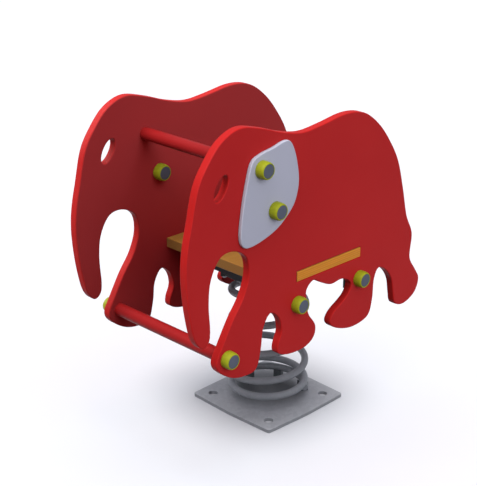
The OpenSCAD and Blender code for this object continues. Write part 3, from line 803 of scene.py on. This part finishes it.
def boltSource(size, length, threaded):
    radius, level = size["thread"] / 2, size["across"] / 2 * hexagon["level"]
    z = threaded - length
    rings = [roundRing(level, size["head"]), hexRing(size, size["head"], 1), hexRing(size, 0.0, 0),
             roundRing(radius, 0.0), roundRing(radius, z)]
    while z - size["pitch"] > boltEnd["plain"] - length:
        rings.append(roundRing(radius - boltEnd["threadDepth"], z - size["pitch"] / 2))
        rings.append(roundRing(radius, z - size["pitch"]))
        z -= size["pitch"]
    rings.append(roundRing(radius - boltEnd["taper"], -length))
    return ringsMesh("boltSource", rings, caps=True)


def nutSource(size):
    hole, level = size["thread"] / 2 + nutHole["slack"], size["across"] / 2 * hexagon["level"]
    mouth, ease, top = hole + nutHole["chamfer"], nutHole["chamfer"], size["nut"]
    rings = [roundRing(mouth, top), roundRing(level, top), hexRing(size, top, 1), hexRing(size, 0.0, -1),
             roundRing(level, 0.0), roundRing(mouth, 0.0), roundRing(hole, ease), roundRing(hole, top - ease)]
    return ringsMesh("nutSource", rings, loop=True)


def upright(node, head, up):  # pieces along z, with the head above or below
    places = []
    for low, high in solidBoxes(node):
        middle = (low + high) / 2
        z = high.z - head * mm if up > 0 else low.z + head * mm
        places.append((Vector((middle.x, middle.y, z)), Vector((0, 0, up))))
    return places, (high.z - low.z) / mm - head


def sideways(node, inset, out):  # pieces along y, set from their outer end or their inner one
    places = []
    for low, high in solidBoxes(node):
        middle = (low + high) / 2
        side = 1 if middle.y > 0 else -1
        far = max(abs(low.y), abs(high.y)) - inset * mm
        near = min(abs(low.y), abs(high.y))
        places.append((Vector((middle.x, side * (far if out > 0 else near), middle.z)), Vector((0, side, 0))))
    return places, (high.y - low.y) / mm - inset


boltSets = {
    "baseClampBolts": {"node": "base_clamp_bolts", "body": "base", "up": 1, "threaded": 6},
    "headClampBolts": {"node": "head_clamp_bolts", "body": "rider", "up": -1, "threaded": 14},
    "headPlateBolts": {"node": "head_plate_bolts", "body": "rider", "up": -1, "threaded": 10},
    "seatBolts": {"node": "seat_bolts", "body": "rider", "up": -1, "threaded": 18},
}
for name, bolt in boltSets.items():
    places, length = upright(bolt["node"], m8["head"], bolt["up"])
    source = boltSource(m8, length, bolt["threaded"])
    bolts = placePieces(name, source, places, boltZinc, math.tau, len(name))
    setOn(bolts, bolt["body"], "fastener_steel", bolt["node"])
for node, name in (("head_clamp_nuts", "headClampNuts"), ("head_plate_nuts", "headPlateNuts")):
    places = [(spot, Vector((0, 0, 1))) for spot, aim in upright(node, 0.0, -1)[0]]
    nuts = placePieces(name, nutSource(m8), places, boltZinc, math.tau, len(name))
    setOn(nuts, "rider", "fastener_steel", node)
frameBolt = {"threaded": 16, "seed": 7, "nutSeed": 11}
places, length = sideways("frame_bolts", m10["head"], 1)
source = boltSource(m10, length, frameBolt["threaded"])
bolts = placePieces("frameBolts", source, places, boltZinc, math.tau, frameBolt["seed"])
setOn(bolts, "rider", "fastener_steel", "frame_bolts")
places = sideways("frame_nuts", 0.0, -1)[0]
nuts = placePieces("frameNuts", nutSource(m10), places, boltZinc, math.tau, frameBolt["nutSeed"])
setOn(nuts, "rider", "fastener_steel", "frame_nuts")

washer = {"outer": 10.5, "hole": 5.5, "thick": 2.0, "edge": 0.5, "edgeSteps": 2}
inset = washer["outer"] - washer["edge"]
washerProfile = [(washer["hole"], 0.0)]
for height, start in ((washer["edge"], -90), (washer["thick"] - washer["edge"], 0)):
    washerProfile += roundCorner((inset, height), washer["edge"], start, start + 90, washer["edgeSteps"])
washerProfile += [(washer["hole"], washer["thick"])]
places = sideways("bolt_washers", 0.0, -1)[0]
washers = placePieces("boltWashers", lathe("washerSource", washerProfile), places, boltZinc)
setOn(washers, "rider", "fastener_steel", "bolt_washers")
for node in ("hand_bar_bolts", "foot_bar_bolts", "ear_bolts", "ear_nuts", "hand_bar_plugs", "foot_bar_plugs"):
    for held in nodes[node].material_slots:  # these stay inside the bars and caps
        held.material = boltZinc
print("bolts, nuts and washers")


# weld beads where the rails meet their lugs

def weldTree():
    inputs = {"Bead": "Float", "Sides": "Int", "Ripple": "Float", "Ripple depth": "Float", "Least": "Float",
              "Most": "Float", "Seed": "Int", "Finish": "Material"}
    tree, given = startTree("weldBead", inputs)
    path = put(tree, "GeometryNodeMeshToCurve", {"Mesh": given["Geometry"]}).outputs[0]
    step = calc(tree, "DIVIDE", given["Ripple"], 4.0)  # four rings to a ripple
    path = put(tree, "GeometryNodeResampleCurve", {"Curve": path, "Length": step}, mode="LENGTH").outputs[0]
    along = put(tree, "GeometryNodeSplineParameter").outputs["Length"]
    wave = calc(tree, "SINE", calc(tree, "MULTIPLY", calc(tree, "DIVIDE", along, given["Ripple"]), math.tau))
    uneven = chance(tree, given["Least"], given["Most"], given["Seed"])
    swell = calc(tree, "ADD", calc(tree, "MULTIPLY", wave, given["Ripple depth"]), uneven)
    circle = put(tree, "GeometryNodeCurvePrimitiveCircle", {"Resolution": given["Sides"],
                 "Radius": given["Bead"]})
    sweep = put(tree, "GeometryNodeCurveToMesh", {"Curve": path, "Profile Curve": circle.outputs[0],
                "Scale": swell, "Fill Caps": True})
    soft = put(tree, "GeometryNodeSetShadeSmooth", {"Geometry": sweep.outputs[0]}).outputs[0]
    return endTree(tree, given, soft)


weld = {"Bead": 0.0022, "Sides": 10, "Ripple": 0.0032, "Ripple depth": 0.14, "Least": 0.9, "Most": 1.1,
        "Seed": 13, "Finish": blackCoat}
rail = {"width": 0.040, "lug": 0.006, "belowTop": 0.003, "abovePlate": 0.001}
beadTree = weldTree()
for node, name in (("front_rail", "frontRailWelds"), ("rear_rail", "rearRailWelds")):
    low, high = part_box(node)
    middle, half = (low.x + high.x) / 2, rail["width"] / 2
    top = high.z - rail["belowTop"]
    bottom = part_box("head_plate")[1].z + rail["abovePlate"]
    ends = []
    for side in (-1, 1):
        y = side * (high.y - rail["lug"])
        for x in (middle - half, middle + half):
            ends += [(x, y, top), (x, y, bottom)]
    paths = bpy.data.meshes.new(name)
    paths.from_pydata(ends, [(i, i + 1) for i in range(0, len(ends), 2)], [])
    welds = grow(name, beadTree, weld, paths)
    faceOut(welds.data)
    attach(welds, "rider")
print("weld beads")


# floor

paleFloor = {"half": 14.0, "dark": (0.86, 0.86, 0.88), "light": (0.88, 0.88, 0.90), "rough": 0.75, "cloud": 1.5}


def floorFinish(look):
    material, tree, shader, where = startFinish("paleFloor", Roughness=look["rough"])
    tone = fromNoise(tree, noise(tree, where, look["cloud"], detail=3.0))
    tree.links.new(blendColour(tree, tone, look["dark"], look["light"]), shader.inputs["Base Color"])
    return material


floorMesh = bpy.data.meshes.new("floor")
half = paleFloor["half"]
floorMesh.from_pydata([(-half, -half, 0), (half, -half, 0), (half, half, 0), (-half, half, 0)], [],
                      [(0, 1, 2, 3)])
floorMesh.materials.append(floorFinish(paleFloor))
floor = newPiece("floor", floorMesh)
floor.visible_diffuse = False  # the undersides stay dark, as over a matt ground
floor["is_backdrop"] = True


# sky: soft from above, with a plain pale backdrop behind the part

studio = {"top": (0.80, 0.82, 0.90), "topFrom": 0.9, "level": (0.22, 0.225, 0.245), "below": (0.03, 0.03, 0.033),
          "horizon": 0.06, "backdrop": (1.0, 1.0, 1.0)}
world = bpy.data.worlds.new("studio")
world.use_nodes = True
sky = world.node_tree
lift = put(sky, "ShaderNodeTexCoord").outputs["Generated"]
lift = put(sky, "ShaderNodeSeparateXYZ", {"Vector": lift}).outputs["Z"]
upper = blendColour(sky, spread(sky, lift, 0.0, studio["topFrom"], 0.0, 1.0), studio["level"], studio["top"])
over = spread(sky, lift, -studio["horizon"], studio["horizon"], 0.0, 1.0)
whole = blendColour(sky, over, studio["below"], upper)
seen = put(sky, "ShaderNodeLightPath").outputs["Is Camera Ray"]
whole = blendColour(sky, seen, whole, studio["backdrop"])
sky.links.new(whole, sky.nodes["Background"].inputs["Color"])
bpy.context.scene.world = world
bpy.context.scene.view_settings.view_transform = "Standard"


# lamps, each with the pieces that it lights or skips

def lightGroup(name, pieces, state):
    group = bpy.data.collections.new(name)
    for piece in pieces:
        group.objects.link(bpy.data.objects[piece])
    for held in group.collection_objects:
        held.light_linking.link_state = state
    return group


def aimed(direction):  # turns a lamp or camera to look that way
    return direction.to_track_quat("-Z", "Y").to_euler()


lowPieces = ["floor", "basePlate", "basePads", "basePacker", "baseClamp", "baseClampBolts", "springFoot",
             "springHead"]
tallPieces = ["leftPanel", "rightPanel", "leftEar", "rightEar", "handBar", "footBar", "boltCaps", "capLids"]
lamps = {
    "frontLamp": {"from": (0.50, -0.10, 0.86), "power": 3.5, "spread": 42, "skips": lowPieces},
    "leftLamp": {"from": (0.18, 0.91, 0.37), "power": 2.07, "spread": 46, "skips": lowPieces + ["rightPanel"]},
    "rightLamp": {"from": (0.18, -0.91, 0.37), "power": 2.07, "spread": 46,
                  "skips": lowPieces + ["leftPanel", "handBar", "footBar"]},
    "innerLamp": {"from": (0.05, 0.76, 0.65), "power": 4.2, "spread": 40, "tint": (0.27, 0.97, 1.0),
                  "only": ["rightPanel"]},
    "groundLamp": {"from": (0.0, 0.09, 1.0), "power": 1.82, "spread": 32, "only": lowPieces, "clear": tallPieces},
}
white = (1, 1, 1)
lampAway = 5  # metres
for name, setting in lamps.items():
    lamp = bpy.data.lights.new(name, "SUN")
    lamp.energy, lamp.angle = setting["power"], math.radians(setting["spread"])
    lamp.color = setting.get("tint", white)
    lampObject = bpy.data.objects.new(name, lamp)
    start = Vector(setting["from"])
    lampObject.location = start * lampAway
    lampObject.rotation_euler = aimed(-start)
    bpy.context.scene.collection.objects.link(lampObject)
    state = "INCLUDE" if "only" in setting else "EXCLUDE"
    lit = lightGroup(name + "Lit", setting.get("only") or setting["skips"], state)
    lampObject.light_linking.receiver_collection = lit
    if "clear" in setting:  # the tall boards throw no shadow from straight above
        clear = lightGroup(name + "Clear", setting["clear"], "EXCLUDE")
        lampObject.light_linking.blocker_collection = clear


# camera

shot = {"from": (2.245, 2.167, 1.690), "at": (0.0596, -0.0585, 0.4690), "lens": 91.4, "sensor": 36.0}
camera = bpy.data.cameras.new("photoCamera")
camera.lens, camera.sensor_width = shot["lens"], shot["sensor"]
cameraObject = bpy.data.objects.new("photoCamera", camera)
cameraObject.location = shot["from"]
cameraObject.rotation_euler = aimed(Vector(shot["at"]) - Vector(shot["from"]))
bpy.context.scene.collection.objects.link(cameraObject)
bpy.context.scene.camera = cameraObject
print("floor, light and camera")

low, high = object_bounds()
